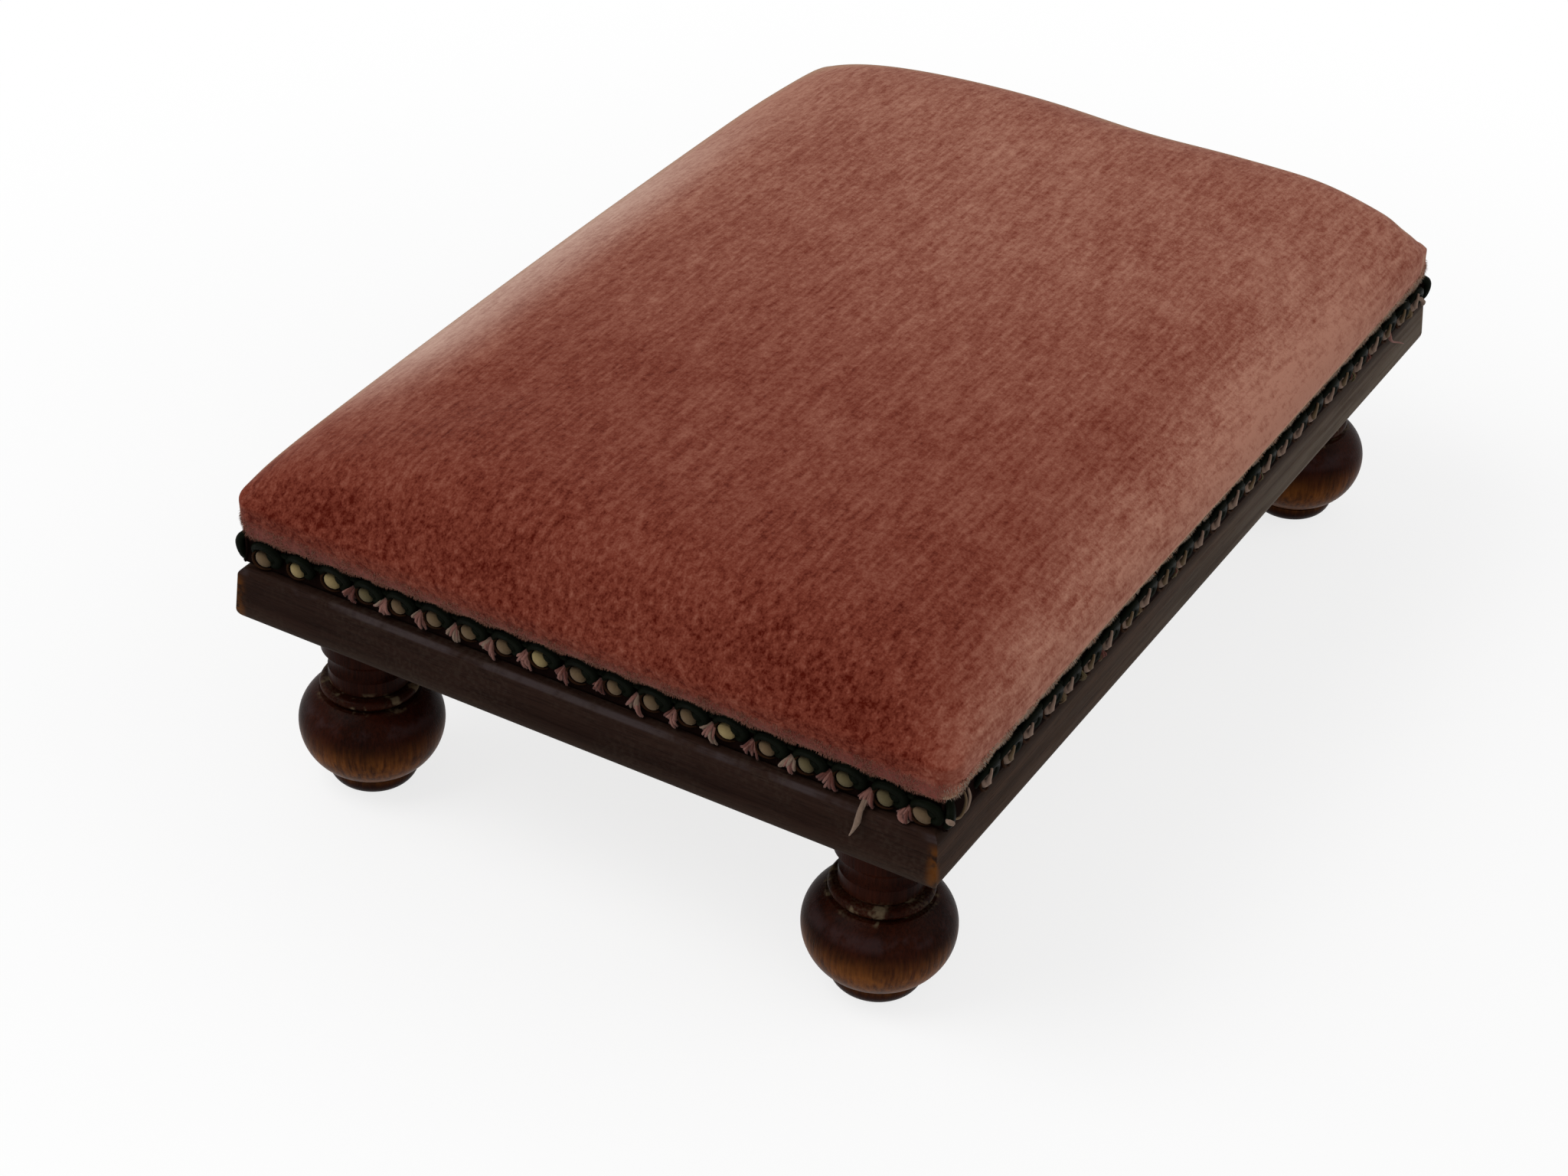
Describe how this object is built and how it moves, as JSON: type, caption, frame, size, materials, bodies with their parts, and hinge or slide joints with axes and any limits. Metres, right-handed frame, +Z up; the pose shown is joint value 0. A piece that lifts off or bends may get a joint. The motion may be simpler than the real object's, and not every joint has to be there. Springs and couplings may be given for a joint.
{
  "type": "footstool",
  "caption": "Low rectangular footstool with a crowned velvet pad, scroll gimp braid, moulded dark wood rails and turned bun feet",
  "frame": {"origin": "On the floor, under the middle of the footstool", "axes": "+X along the long side, +Y across, +Z up"},
  "size_m": [0.328, 0.2298, 0.1173],
  "materials": {
    "frame_wood": "dark stained rails under a worn, dusty satin varnish",
    "foot_wood": "turned wood, dark red-brown stain, dusty in its grooves and worn orange-brown at the base",
    "block_wood": "plain sawn softwood, aged",
    "board_wood": "plain planed board, aged",
    "screw_steel": "dull slotted wood screws",
    "stuffing_fibre": "teased curled fibre",
    "wadding_cotton": "soft cotton felt",
    "velvet": "dusty rose cut velvet, brushed and faded in streaks",
    "tack_steel": "blued cut tacks",
    "gimp_braid": "glossy bottle-green scroll gimp with dull gold beads and rose tufts"
  },
  "bodies": {
    "root": {"rail_front": "frame_wood", "rail_right": "frame_wood", "rail_back": "frame_wood", "rail_left": "frame_wood", "corner_block_front_left": "block_wood", "corner_block_front_right": "block_wood", "corner_block_back_right": "block_wood", "corner_block_back_left": "block_wood", "foot_front_left": "foot_wood", "foot_front_right": "foot_wood", "foot_back_right": "foot_wood", "foot_back_left": "foot_wood", "seat_board": "board_wood", "seat_screws": "screw_steel", "stuffing": "stuffing_fibre", "wadding": "wadding_cotton", "velvet_cover": "velvet", "cover_tacks": "tack_steel", "gimp_front": "gimp_braid", "gimp_right": "gimp_braid", "gimp_back": "gimp_braid", "gimp_left": "gimp_braid"}
  },
  "joints": []
}
